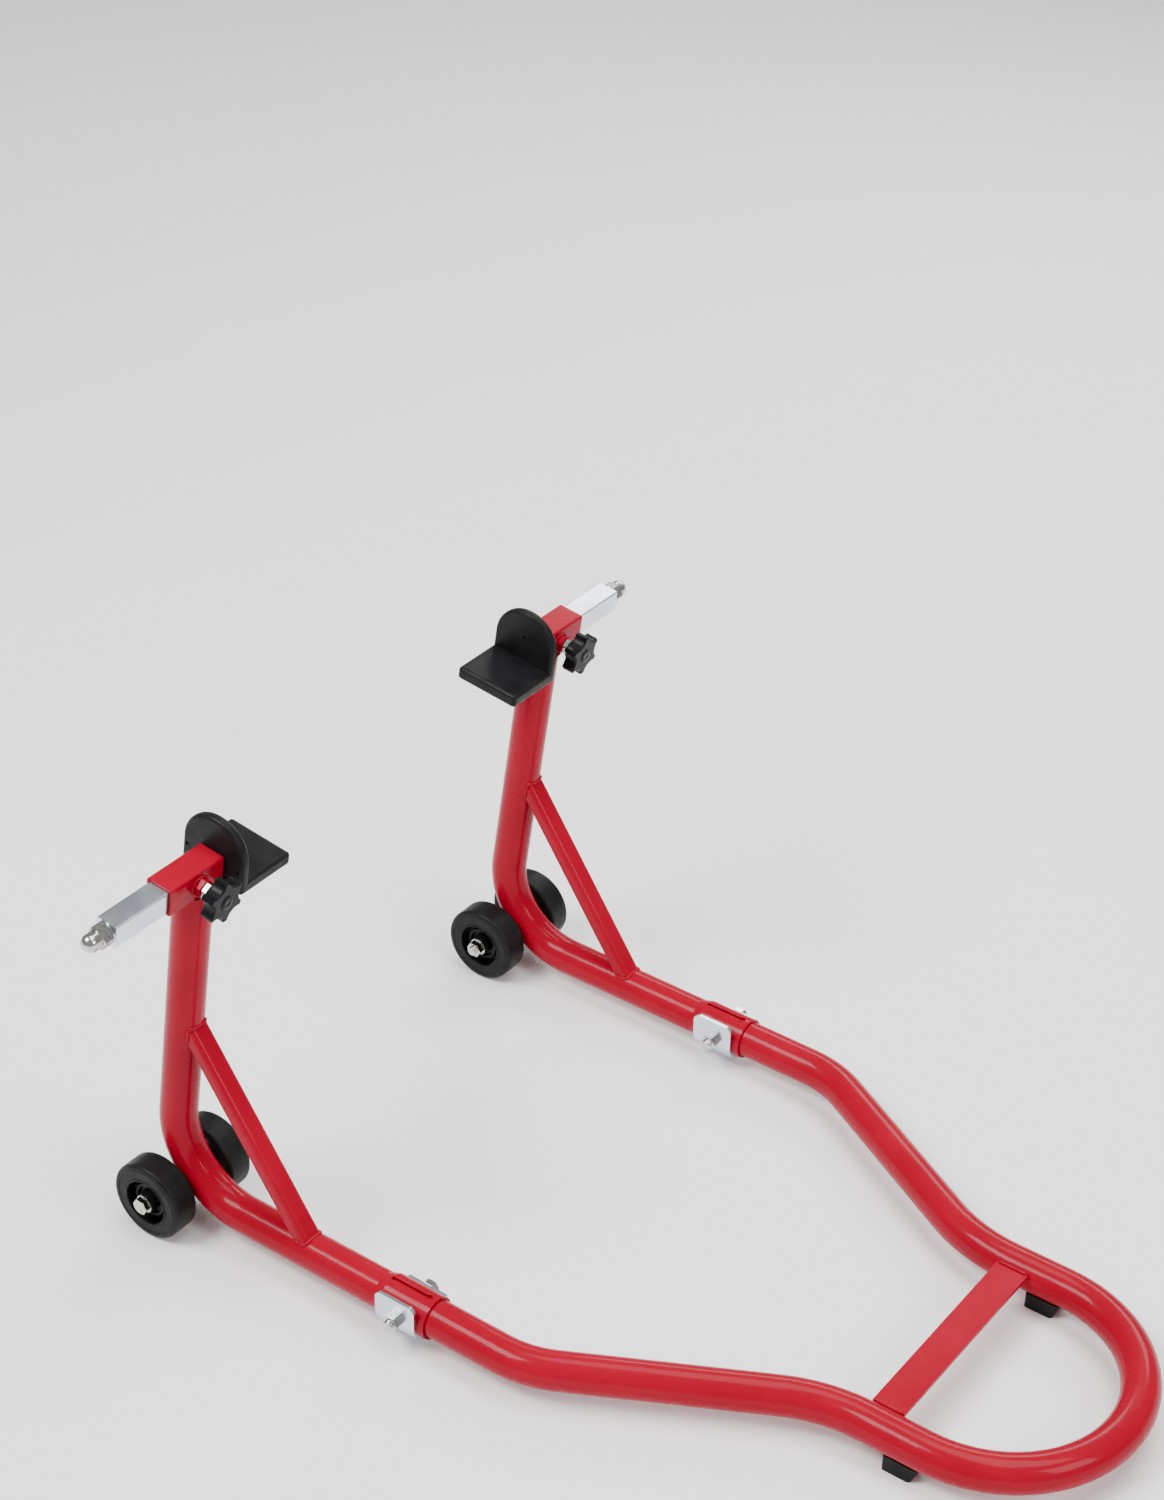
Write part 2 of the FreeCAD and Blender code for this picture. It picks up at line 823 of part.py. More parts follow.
def adapter_bar(name, side):
    """Sliding square bar, closed by a drilled plate at each end."""
    inner, outer, plate = cell("bar_inner"), cell("bar_outer"), cell("end_plate")
    bar = square_tube(name, "adapter_bar", side, inner + plate, outer - plate, cell("bar_size"),
                      cell("bar_wall"), cell("bar_corner"))
    node(bar, "adapter_bar_" + name)
    plates = []
    for start in (inner, outer - plate):
        body = new_body("bar_end_plate_" + name)
        section = new_sketch(body, "XZ_Plane")
        rounded_square(section, cell("bar_size"), cell("bar_corner"))
        circle(section, 0, 0, cell("stud_radius") + cell("running_play"))
        pad(body, section, plate)
        place_on_head(body, (start + plate / 2) * side)
        plates.append(body)
    node(group(plates), "bar_end_plates_" + name)


def clamp_screw(name, side):
    """Weld nut on the receiver, threaded stud and lobed hand knob, along the head's own X."""
    y = cell("clamp_y") * side
    face = cell("receiver_size") / 2
    x_axis = (1, 0, 0)
    nut = hexagon_nut(cell("clamp_nut_size"), cell("clamp_nut_height"), 4, (face, 0, 0), x_axis)
    node(place_on_head(nut, y), "clamp_nut_" + name)
    length = cell("clamp_stud_end") - cell("clamp_stud_start")
    tip = size(1)
    start = cell("clamp_stud_start")
    point = cone(cell("clamp_stud_radius") - tip, cell("clamp_stud_radius"), tip, (start, 0, 0), x_axis)
    shank = cylinder(cell("clamp_stud_radius"), length - tip, (start + tip, 0, 0), x_axis)
    node(place_on_head(fuse(point, shank), y), "clamp_stud_" + name)
    bore = cell("clamp_stud_radius") + cell("running_play")
    jam = hexagon_nut(13, cell("jam_nut_height"), bore, (cell("jam_nut_start"), 0, 0), x_axis)
    node(place_on_head(jam, y), "jam_nut_" + name)
    node(place_on_head(knob(name), y), "knob_" + name)


def knob(name):
    """Six-lobed knob with a collar towards the stand."""
    body = new_body("knob_body_" + name)
    face = new_sketch(body, "YZ_Plane", cell("knob_start") + cell("knob_collar"))
    circle(face, 0, 0, cell("knob_radius"))
    pad(body, face, cell("knob_thickness"), midplane=False)
    scallop = new_sketch(body, "YZ_Plane", cell("knob_start"))
    circle(scallop, cell("knob_scallop_pitch"), 0, cell("knob_scallop"))
    bite = pocket(body, scallop, 60, midplane=False, reverse=True)
    pattern = body.newObject("PartDesign::PolarPattern", body.Name + "_lobes")
    pattern.Originals = [bite]
    pattern.Axis = (origin_plane(body, "X_Axis"), [""])
    pattern.Angle = 360
    pattern.Occurrences = 6
    body.Tip = pattern
    fillet(body, 1.5, lambda edge: edge.BoundBox.XLength < 1e-3)
    collar = new_sketch(body, "YZ_Plane", cell("knob_start"))
    circle(collar, 0, 0, cell("knob_collar_radius"))
    pad(body, collar, cell("knob_collar") + 1, midplane=False)
    bore = new_sketch(body, "YZ_Plane", cell("knob_start"))
    circle(bore, 0, 0, cell("clamp_stud_radius") + cell("running_play"))
    depth = cell("clamp_stud_end") - cell("knob_start") + 0.3
    pocket(body, bore, depth, midplane=False, reverse=True)
    return body


def pad_outline(sketch, inset):
    """Straight-sided plate with a half-round top."""
    half = cell("pad_half_width") - inset
    low = cell("pad_bottom") + inset * 0.5
    arch = cell("pad_arch")
    steps = [(half, low), (half, arch), (0, arch + half, half, 1), (-half, arch, half, 1), (-half, low)]
    outline(sketch, (-half, low), steps)


def angle_plate(name, label, side, back, thickness, shelf_thickness, reach, inset):
    """Round-topped upright plate with a shelf along its lower edge that points inwards."""
    body = new_body(label + "_" + name)
    face = new_sketch(body, "XZ_Plane", (back - thickness / 2) * -side)
    pad_outline(face, inset)
    pad(body, face, thickness)
    shelf = new_sketch(body, "XZ_Plane", (back + reach) / 2 * -side)
    half = cell("pad_half_width") - inset
    low = cell("pad_bottom") + inset * 0.5
    top = low + shelf_thickness
    steps = [(half, low), (half, top), (-half, top), (-half, low)]
    outline(shelf, (-half, low), steps)
    pad(body, shelf, back - reach)
    return body


def swivel_pad(name, side):
    """Rubber-covered angle bracket on a through stud, held by a dome nut at the bar's far end."""
    inset = cell("core_inset")
    core_gap = (cell("pad_thickness") - cell("core_thickness")) / 2
    core_back = cell("pad_back") - core_gap
    core = angle_plate(name, "pad_core_plate", side, core_back, cell("core_thickness"),
                       cell("core_thickness"), cell("pad_reach") + inset, inset)
    place_on_head(core, 0)
    node(core, "pad_core_" + name)
    rubber = angle_plate(name, "pad_rubber", side, cell("pad_back"), cell("pad_thickness"),
                         cell("shelf_thickness"), cell("pad_reach"), size(0))
    place_on_head(rubber, 0)
    inner_face = cell("pad_back") - cell("pad_thickness")

    def soft(edge):
        away = abs(edge.CenterOfMass.y) > inner_face.value - 0.01
        crease = away and edge_runs(edge, (1, 0, 0)) and abs(edge.CenterOfMass.y) < inner_face.value + 0.01
        return not crease

    fillet(rubber, cell("pad_edge"), soft)
    stud_length = cell("stud_outer") - core_back
    stud_start = (head_x, core_back * side, head_z)
    stud = cylinder(cell("stud_radius"), stud_length, stud_start, (0, side, 0))
    node(stud, "pad_stud_" + name)
    node(cut(rubber, group([core, stud] + moulding_marks(side))), "pad_" + name)
    dome_nut(name, side)


def moulding_marks(side):
    """Shallow holes left in the rubber by the pins that held the core in its mould."""
    inner_face = cell("pad_back") - cell("pad_thickness")
    marks = []
    for x, z, radius, face, direction in (
        (0, 17, 1.25, inner_face, 1),
        (-26, 3, 1.5, cell("pad_back"), -1),
        (26, 3, 1.5, cell("pad_back"), -1),
    ):
        x_side = head_x + x * cosine(lean) + z * sine(lean)
        z_side = head_z - x * sine(lean) + z * cosine(lean)
        marks.append(cylinder(radius, 1.5, (x_side, face * side, z_side), (0, side * direction, 0)))
    return marks


def dome_nut(name, side):
    """Washer and closed nut on the outer end of the pad's stud."""
    outward = (0, side, 0)
    thick = cell("dome_washer_thickness")
    start = (head_x, (cell("bar_outer") + 0.1) * side, head_z)
    disc = cylinder(cell("dome_washer_radius"), thick, start, outward)
    bore = cylinder(cell("stud_radius"), thick, start, outward)
    node(cut(disc, bore), "pad_washer_" + name)
    seat = cell("bar_outer") + 0.1 + thick
    start = (head_x, seat * side, head_z)
    hexagon = hexagon_head(cell("dome_nut_size"), cell("dome_nut_height"), start, outward)
    centre = cell("dome_outer") - cell("dome_radius")
    collar = cylinder(cell("dome_radius"), centre - seat, start, outward)
    ball = doc.addObject("Part::Sphere", "sphere")
    bind(ball, "Radius", cell("dome_radius"))
    place(ball, head_x, centre * side, head_z)
    solid = fuse(fuse(hexagon, collar), ball)
    thread = cylinder(cell("stud_radius"), cell("stud_outer") + 0.3 - seat, start, outward)
    node(cut(solid, thread), "acorn_nut_" + name)


def build():
    rear_loop()
    cross_plate()
    for name, side in SIDES.items():
        side_tube(name, side)
        brace(name, side)
        axle_sleeve(name, side)
        coupling(name, side)
        foot(name, side)
        wheel(name, "outer", side, 1)
        wheel(name, "inner", side, -1)
        axle_hardware(name, side)
        receiver(name, side)
        adapter_bar(name, side)
        clamp_screw(name, side)
        swivel_pad(name, side)
    doc.recompute()


def write():
    for thing in doc.Objects:
        if {"Invalid", "Error"} & set(thing.State):
            raise RuntimeError("%s is %s" % (thing.Label, thing.State))
    os.makedirs("parts", exist_ok=True)
    for name, thing in pieces.items():
        shape = thing.Shape
        if shape.isNull() or not shape.isValid() or not shape.Solids:
            raise RuntimeError("%s has no valid solid" % name)
        shape.exportStep("parts/%s.step" % name)


build()
write()
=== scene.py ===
import json
import math
import random

import bmesh
import bpy
from mathutils import Matrix, Vector


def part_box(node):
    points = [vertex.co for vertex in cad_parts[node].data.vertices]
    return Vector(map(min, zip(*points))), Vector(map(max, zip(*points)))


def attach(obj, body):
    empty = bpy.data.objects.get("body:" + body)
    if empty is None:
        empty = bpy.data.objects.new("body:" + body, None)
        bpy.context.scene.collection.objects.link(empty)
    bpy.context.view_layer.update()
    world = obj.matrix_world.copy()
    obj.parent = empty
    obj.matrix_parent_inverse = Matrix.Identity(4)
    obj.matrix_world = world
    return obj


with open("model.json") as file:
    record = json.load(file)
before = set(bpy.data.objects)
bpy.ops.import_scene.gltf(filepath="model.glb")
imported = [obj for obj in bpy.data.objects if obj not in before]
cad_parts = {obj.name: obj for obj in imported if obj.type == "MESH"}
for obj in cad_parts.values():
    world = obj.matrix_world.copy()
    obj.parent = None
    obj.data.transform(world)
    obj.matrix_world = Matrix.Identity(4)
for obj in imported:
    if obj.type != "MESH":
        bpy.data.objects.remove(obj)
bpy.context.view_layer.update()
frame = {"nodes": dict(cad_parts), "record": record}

SIDES = {"left": -1, "right": 1}
JOINTS = {joint["name"]: joint for joint in frame["record"]["behaviour"]["joints"]}
SLOTS = {part["node"]: part["material_slot"] for part in frame["record"]["subparts"]}

# Geometry shared with the solids, in metres.
TUBE_RADIUS = 0.016
UPRIGHT_REACH = 0.328
BEND_RADIUS = 0.070
SLEEVE_RADIUS = 0.0086
RECEIVER_HALF = 0.0125
BRACE_ANGLE = math.radians(55)
BRACE_POINT = (0.0948, 0.0965)
BRACE_HALF_WIDTH = 0.010
BRACE_CORNER = 0.005
BRACE_DEPTH = 0.012
KNOB_FACE = 0.0409
BOLT_RADIUS = 0.0040
BOLT_PITCH = 0.00125

# Radii of the weld beads, in metres.
TUBE_BEAD = 0.0017
PLATE_BEAD = 0.0014
NUT_BEAD = 0.0013

# A bead's rings and puddles, in bead radii, and how much its thickness rises, falls and wanders.
RING_SPACING = 0.35
PUDDLE_LENGTH = 1.5
RIPPLE = 0.10
UNEVENNESS = 0.05

# Half the width and half the height of the axle sleeve's weld, and the mean reach and swing of the nut's weld.
SLEEVE_OVAL = (0.0095, 0.0062)
NUT_REACH, NUT_SWING = 0.0082, 0.0004

# Turned profiles of small mouldings: (distance out from the face they sit on, radius).
TYRE_RING = [(-0.0006, 0.0292), (0.00035, 0.0295), (0.00045, 0.0300), (0.00035, 0.0305), (-0.0006, 0.0308)]
HUB_LIP = [(-0.0012, 0.0199), (0.0002, 0.0201), (0.0006, 0.0208), (0.0006, 0.0216), (0.0001, 0.0222),
           (-0.0012, 0.0223)]
KNOB_CAP = [(-0.0012, 0.0001), (-0.0012, 0.0066), (0.0002, 0.0066), (0.0006, 0.0060), (0.0008, 0.0036),
            (0.0009, 0.0001)]

# Where the camera stands and how it is turned: azimuth, elevation and roll in degrees.
CAMERA_POSITION = (0.9719, -1.5608, 1.6689)
CAMERA_TURN = (35.29, 32.87, 1.54)
CAMERA_LENS = 71.25
SENSOR_WIDTH = 36

# Area lights, aimed at one point: name, position, size and power.
LIGHT_TARGET = (0, 0, 0.1)
LIGHTS = [
    ("key", (-1.3, -1.7, 2.8), (1.6, 1.1), 120),
    ("fill", (2.6, -0.2, 2.0), (1.4, 1.4), 50),
    ("top", (0.2, 0.5, 3.4), (2.6, 1.8), 95),
    ("rim", (-0.6, 2.6, 1.8), (2.2, 0.7), 45),
]
WORLD_STRENGTH = 0.42
FLOOR_REACH = 9.0

DICE = random.Random(11)


# ---------------------------------------------------------------- frames of reference

def head_frame(name):
    """Centre of the head, and the directions of its own X and Z."""
    centre = Vector(JOINTS["pad_%s_swivel" % name]["pos_m"])
    forward = Vector(JOINTS["screw_%s_travel" % name]["axis"]).normalized()
    up = forward.cross(Vector((0, 1, 0))).normalized()
    return centre, forward, up


def corner_of(name):
    """Where the axes of the upright and the rail meet."""
    centre, _, up = head_frame(name)
    low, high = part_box("side_tube_" + name)
    corner = centre - up * UPRIGHT_REACH
    return Vector((corner.x, (low[1] + high[1]) / 2, corner.z))


def middle(node):
    """Centre of a node's bounding box."""
    low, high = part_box(node)
    return (Vector(low) + Vector(high)) / 2


# ---------------------------------------------------------------- materials

class Recipe:
    """A node material with a few shorthand calls."""

    def __init__(self, name, roughness, metallic=0.0, coat=0.0, coat_roughness=0.03, specular=0.5):
        self.material = bpy.data.materials.new(name)
        self.material.use_nodes = True
        self.nodes = self.material.node_tree.nodes
        self.links = self.material.node_tree.links
        self.shader = self.nodes["Principled BSDF"]
        self.shader.inputs["Metallic"].default_value = metallic
        self.shader.inputs["Roughness"].default_value = roughness
        self.shader.inputs["Coat Weight"].default_value = coat
        self.shader.inputs["Coat Roughness"].default_value = coat_roughness
        self.shader.inputs["Specular IOR Level"].default_value = specular
        self.height = None
        texture = self.nodes.new("ShaderNodeTexCoord")
        self.object_coordinates = texture.outputs["Object"]

    def stretched(self, scale):
        """Object coordinates scaled by axis, so that a pattern draws out into lines."""
        mapping = self.nodes.new("ShaderNodeMapping")
        mapping.inputs["Scale"].default_value = scale
        self.links.new(self.object_coordinates, mapping.inputs["Vector"])
        return mapping.outputs["Vector"]

    def noise(self, scale, detail=3.0, coordinates=None):
        node = self.nodes.new("ShaderNodeTexNoise")
        node.inputs["Scale"].default_value = scale
        node.inputs["Detail"].default_value = detail
        self.links.new(coordinates or self.object_coordinates, node.inputs["Vector"])
        return node.outputs["Fac"]

    def colour(self, factor, low, high):
        """Base colour that goes from low to high over the middle of the factor's range."""
        node = self.nodes.new("ShaderNodeValToRGB")
        for element, position, colour in zip(node.color_ramp.elements, (0.3, 0.7), (low, high)):
            element.position, element.color = position, (*colour, 1)
        self.links.new(factor, node.inputs["Fac"])
        self.links.new(node.outputs["Color"], self.shader.inputs["Base Color"])

    def roughness(self, factor, low, high):
        """Roughness that goes from low to high over the middle of the factor's range."""
        node = self.nodes.new("ShaderNodeMapRange")
        node.inputs["From Min"].default_value = 0.3
        node.inputs["From Max"].default_value = 0.7
        node.inputs["To Min"].default_value = low
        node.inputs["To Max"].default_value = high
        self.links.new(factor, node.inputs["Value"])
        self.links.new(node.outputs["Result"], self.shader.inputs["Roughness"])

    def bump(self, factor, strength, distance):
        """Adds a bump on top of the ones already there."""
        node = self.nodes.new("ShaderNodeBump")
        node.inputs["Strength"].default_value = strength
        node.inputs["Distance"].default_value = distance
        self.links.new(factor, node.inputs["Height"])
        if self.height:
            self.links.new(self.height, node.inputs["Normal"])
        self.height = node.outputs["Normal"]
        self.links.new(self.height, self.shader.inputs["Normal"])


def red_powder_coat():
    """Gloss powder coat: even colour, faint orange peel and slightly uneven gloss."""
    recipe = Recipe("red_powder_coat", 0.26, coat=0.11, coat_roughness=0.04, specular=0.05)
    recipe.colour(recipe.noise(14, 4), (0.285, 0.0001, 0.0130), (0.340, 0.0002, 0.0170))
    recipe.roughness(recipe.noise(60, 4), 0.20, 0.30)
    recipe.bump(recipe.noise(420, 2), 0.07, 0.0005)
    recipe.bump(recipe.noise(38, 2), 0.04, 0.0015)
    return recipe.material


def bright_zinc(name, stretch):
    """Bright zinc plate with drawing lines and a cool, slightly clouded sheen."""
    recipe = Recipe(name, 0.22, metallic=1.0)
    recipe.colour(recipe.noise(26, 3), (0.56, 0.61, 0.68), (0.70, 0.74, 0.79))
    recipe.roughness(recipe.noise(60, 3), 0.18, 0.27)
    recipe.bump(recipe.noise(160, 2, recipe.stretched(stretch)), 0.03, 0.0002)
    return recipe.material


def fastener_zinc():
    """Duller zinc of nuts and bolts, blotchy at a small scale."""
    recipe = Recipe("zinc_hardware", 0.2, metallic=1.0)
    recipe.colour(recipe.noise(180, 4), (0.40, 0.40, 0.39), (0.62, 0.62, 0.60))
    recipe.roughness(recipe.noise(320, 4), 0.10, 0.24)
    recipe.bump(recipe.noise(500, 2), 0.04, 0.0002)
    return recipe.material


def core_steel():
    """Plain mill-finish steel."""
    recipe = Recipe("core_steel", 0.5, metallic=1.0)
    recipe.colour(recipe.noise(90, 4), (0.22, 0.21, 0.20), (0.36, 0.36, 0.35))
    recipe.roughness(recipe.noise(200, 3), 0.4, 0.6)
    return recipe.material


def black_rubber(name, low, high, rough, grain):
    """Moulded rubber: fine grain, a soft undulation and a cloudy variation."""
    recipe = Recipe(name, rough, specular=0.12)
    recipe.colour(recipe.noise(45, 5), low, high)
    recipe.roughness(recipe.noise(120, 4), rough - 0.09, rough + 0.10)
    recipe.bump(recipe.noise(grain, 3), 0.22, 0.0005)
    recipe.bump(recipe.noise(70, 2), 0.08, 0.0012)
    return recipe.material


def moulded_plastic(name, low, high, rough):
    """Black plastic with a very fine grain and slightly uneven gloss."""
    recipe = Recipe(name, rough, specular=0.10)
    recipe.colour(recipe.noise(60, 4), low, high)
    recipe.roughness(recipe.noise(260, 3), rough - 0.06, rough + 0.08)
    recipe.bump(recipe.noise(1500, 2), 0.15, 0.0003)
    return recipe.material


MATERIALS = {
    "red_paint": red_powder_coat(),
    "zinc_plate": bright_zinc("zinc_plate", (1.0, 1.0, 0.08)),
    "bar_finish": bright_zinc("zinc_bar", (1.0, 0.03, 1.0)),
    "zinc_hardware": fastener_zinc(),
    "core_steel": core_steel(),
    "pad_rubber": black_rubber("pad_rubber", (0.005, 0.005, 0.0055), (0.010, 0.010, 0.011), 0.40, 950),
    "foot_rubber": black_rubber("foot_rubber", (0.008, 0.008, 0.009), (0.016, 0.016, 0.017), 0.58, 800),
    "tyre_rubber": black_rubber("tyre_rubber", (0.005, 0.005, 0.0055), (0.011, 0.011, 0.012), 0.42, 700),
    "hub_plastic": moulded_plastic("hub_plastic", (0.004, 0.004, 0.0045), (0.008, 0.008, 0.009), 0.34),
    "knob_plastic": moulded_plastic("knob_plastic", (0.004, 0.004, 0.0045), (0.009, 0.009, 0.010), 0.32),
}


def dress_nodes():
    """Gives every solid the finish of its own material slot."""
    for name, thing in frame["nodes"].items():
        slots = thing.data.materials
        material = MATERIALS[SLOTS[name]]
        if slots:
            for index in range(len(slots)):
                slots[index] = material
        else:
            slots.append(material)


# ---------------------------------------------------------------- mesh building

def add_piece(name, vertices, faces, body, slot_name):
    """A mesh piece that rides on a body; its four-sided faces are smooth and its end caps flat."""
    mesh = bpy.data.meshes.new(name)
    mesh.from_pydata([tuple(v) for v in vertices], [], faces)
    cleaner = bmesh.new()
    cleaner.from_mesh(mesh)
    bmesh.ops.recalc_face_normals(cleaner, faces=cleaner.faces)
    cleaner.to_mesh(mesh)
    cleaner.free()
    mesh.polygons.foreach_set("use_smooth", [len(face.vertices) == 4 for face in mesh.polygons])
    thing = bpy.data.objects.new(name, mesh)
    bpy.context.scene.collection.objects.link(thing)
    thing.data.materials.append(MATERIALS[slot_name])
    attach(thing, body)
    return thing


def resample(points, spacing, closed):
    """Evenly spaced points along a polyline."""
    track = points + [points[0]] if closed else points
    lengths = [(b - a).length for a, b in zip(track, track[1:])]
    total = sum(lengths)
    count = max(int(total / spacing), 4)
    result = []
    steps = count if closed else count + 1
    for step in range(steps):
        target = total * step / count
        index = 0
        while index < len(lengths) - 1 and target > lengths[index]:
            target -= lengths[index]
            index += 1
        result.append(track[index].lerp(track[index + 1], min(target / lengths[index], 1.0)))
    return result


def bead(name, points, radius, body, closed=True):
    """A hand-laid weld bead: a tube along the points whose thickness rises with each puddle."""
    spacing = radius * RING_SPACING
    track = resample(points, spacing, closed)
    sides = 10
    puddle = radius * PUDDLE_LENGTH
    vertices = []
    normal = None
    for index, point in enumerate(track):
        after = track[(index + 1) % len(track)] if closed or index < len(track) - 1 else point
        before = track[index - 1] if closed or index > 0 else point
        tangent = (after - before).normalized()
        if normal is None:
            normal = tangent.orthogonal()
        normal = (normal - tangent * normal.dot(tangent)).normalized()
        side = tangent.cross(normal)
        phase = index * spacing / puddle * 2 * math.pi
        ripple = 1 + RIPPLE * math.sin(phase) + DICE.uniform(-UNEVENNESS, UNEVENNESS)
        if not closed:
            end = min(index, len(track) - 1 - index) / 3
            ripple *= min(1.0, 0.35 + 0.65 * end)
        for step in range(sides):
            angle = 2 * math.pi * step / sides
            reach = radius * ripple
            vertices.append(point + normal * (math.cos(angle) * reach) + side * (math.sin(angle) * reach))
    faces = []
    rows = len(track)
    for row in range(rows if closed else rows - 1):
        following = (row + 1) % rows
        for step in range(sides):
            next_step = (step + 1) % sides
            faces.append((row * sides + step, row * sides + next_step,
                          following * sides + next_step, following * sides + step))
    if not closed:
        faces.append(tuple(range(sides)))
        faces.append(tuple((rows - 1) * sides + step for step in range(sides)))
    return add_piece(name, vertices, faces, body, "red_paint")


def turned(name, centre, axis, profile, body, slot_name, segments=72):
    """Revolves a closed profile of (distance along axis, radius) pairs."""
    axis = axis.normalized()
    across = axis.orthogonal().normalized()
    side = axis.cross(across)
    vertices = []
    for step in range(segments):
        angle = 2 * math.pi * step / segments
        outward = across * math.cos(angle) + side * math.sin(angle)
        for along, radius in profile:
            vertices.append(centre + axis * along + outward * radius)
    faces = []
    count = len(profile)
    for step in range(segments):
        following = (step + 1) % segments
        for index in range(count):
            after = (index + 1) % count
            faces.append((step * count + index, step * count + after,
                          following * count + after, following * count + index))
    return add_piece(name, vertices, faces, body, slot_name)


def thread(name, start, axis, length, radius, pitch, body):
    """A helical thread round the free end of a bolt, with a run-out and a chamfered end."""
    axis = axis.normalized()
    across = axis.orthogonal().normalized()
    side = axis.cross(across)
    around = 40
    per_pitch = 8
    rows = int(length / pitch * per_pitch)
    depth = 0.14 * pitch
    run_out = 0.9 * pitch
    clearance = 0.0001
    cap_height, cap_share = 0.0003, 0.78
    vertices = []
    for row in range(rows + 1):
        along = length * row / rows
        taper = min(1.0, (length - along) / run_out)
        for step in range(around):
            angle = 2 * math.pi * step / around
            phase = (along / pitch - step / around) % 1.0
            wave = 1 - abs(2 * phase - 1)
            reach = radius + depth * (2 * wave - 0.7) * taper + clearance
            vertices.append(start + axis * along + (across * math.cos(angle) + side * math.sin(angle)) * reach)
    faces = []
    for row in range(rows):
        for step in range(around):
            following = (step + 1) % around
            faces.append((row * around + step, row * around + following,
                          (row + 1) * around + following, (row + 1) * around + step))
    point = start + axis * (length + cap_height)
    first = len(vertices)
    for step in range(around):
        angle = 2 * math.pi * step / around
        vertices.append(point + (across * math.cos(angle) + side * math.sin(angle)) * radius * cap_share)
    for step in range(around):
        following = (step + 1) % around
        faces.append((rows * around + step, rows * around + following, first + following, first + step))
    faces.append(tuple(range(around)))
    faces.append(tuple(range(first, first + around)))
    return add_piece(name, vertices, faces, body, "zinc_hardware")


# ---------------------------------------------------------------- welds

def receiver_weld(name):
    """Round the upright's end, drawn in to the receiver's edges where the tube is wider than it."""
    centre, forward, up = head_frame(name)
    arm_y = corner_of(name).y
    points = []
    limit = RECEIVER_HALF + 0.0006
    reach = TUBE_RADIUS + 0.0003
    for step in range(72):
        angle = 2 * math.pi * step / 72
        x = max(-limit, min(limit, reach * math.cos(angle)))
        point = centre + forward * x - up * (RECEIVER_HALF + 0.0002)
        points.append(Vector((point.x, arm_y + reach * math.sin(angle), point.z)))
    bead("weld_receiver_" + name, points, TUBE_BEAD, "frame")


def cylinder_hit(origin, direction, base, axis, radius):
    """First point where the ray meets the endless cylinder."""
    offset = origin - base
    a_vector = direction - axis * direction.dot(axis)
    b_vector = offset - axis * offset.dot(axis)
    a = a_vector.dot(a_vector)
    b = 2 * a_vector.dot(b_vector)
    c = b_vector.dot(b_vector) - radius * radius
    distance = (-b - math.sqrt(max(b * b - 4 * a * c, 0))) / (2 * a)
    return origin + direction * distance


def brace_section():
    """Points round the outside of the channel: (height above the web's face, sideways)."""
    points = [(-BRACE_DEPTH, -BRACE_HALF_WIDTH)]
    inner = BRACE_HALF_WIDTH - BRACE_CORNER
    for step in range(7):
        angle = math.radians(15 * step)
        points.append((-BRACE_CORNER + BRACE_CORNER * math.sin(angle), -inner - BRACE_CORNER * math.cos(angle)))
    mirrored = [(height, -sideways) for height, sideways in reversed(points)]
    return points + mirrored


def brace_welds(name):
    """Where the brace's ends meet the upright and the rail, along three sides of the channel."""
    corner = corner_of(name)
    _, _, up = head_frame(name)
    outward = Vector((math.sin(BRACE_ANGLE), 0, math.cos(BRACE_ANGLE)))
    upward = Vector((-math.cos(BRACE_ANGLE), 0, math.sin(BRACE_ANGLE)))
    origin = corner + Vector((BRACE_POINT[0], 0, BRACE_POINT[1]))
    for label, direction, axis in (("top", upward, up), ("low", -upward, Vector((1, 0, 0)))):
        points = []
        for height, sideways in brace_section():
            start = origin + outward * height + Vector((0, sideways, 0))
            points.append(cylinder_hit(start, direction, corner, axis, TUBE_RADIUS))
        bead("weld_brace_%s_%s" % (label, name), points, TUBE_BEAD, "frame", closed=False)


def sleeve_weld(name):
    """Where the axle sleeve sits on the outside of the bend."""
    axle = middle("axle_sleeve_" + name)
    corner = corner_of(name)
    _, _, up = head_frame(name)
    lean = math.atan2(up.x, up.z)
    setback = BEND_RADIUS * math.tan(math.radians(45) + lean / 2)
    centre = corner + Vector((setback, 0, BEND_RADIUS))
    outward = axle - centre
    outward.y = 0
    outward.normalize()
    contact = axle - outward * SLEEVE_RADIUS
    contact.y = corner.y
    along = Vector((0, 1, 0)).cross(outward)
    points = []
    for step in range(48):
        angle = 2 * math.pi * step / 48
        y = SLEEVE_OVAL[0] * math.cos(angle)
        t = SLEEVE_OVAL[1] * math.sin(angle)
        shift = t * t / (2 * SLEEVE_RADIUS) * 0.5 - y * y / (4 * TUBE_RADIUS)
        points.append(contact + Vector((0, y, 0)) + along * t + outward * shift)
    bead("weld_axle_sleeve_" + name, points, TUBE_BEAD, "frame")


def plate_welds():
    """Above and below the cross plate's ends, where it lies against the handle tube."""
    low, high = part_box("cross_plate")
    for name, side in SIDES.items():
        y = high[1] if side > 0 else low[1]
        for label, z in (("top", high[2] + 0.0003), ("under", low[2] - 0.0004)):
            inset = 0.0 if label == "top" else 0.0012
            points = []
            for step in range(8):
                x = low[0] + 0.001 + (high[0] - low[0] - 0.002) * step / 7
                points.append(Vector((x, y - side * inset, z)))
            bead("weld_plate_%s_%s" % (label, name), points, PLATE_BEAD, "frame", closed=False)


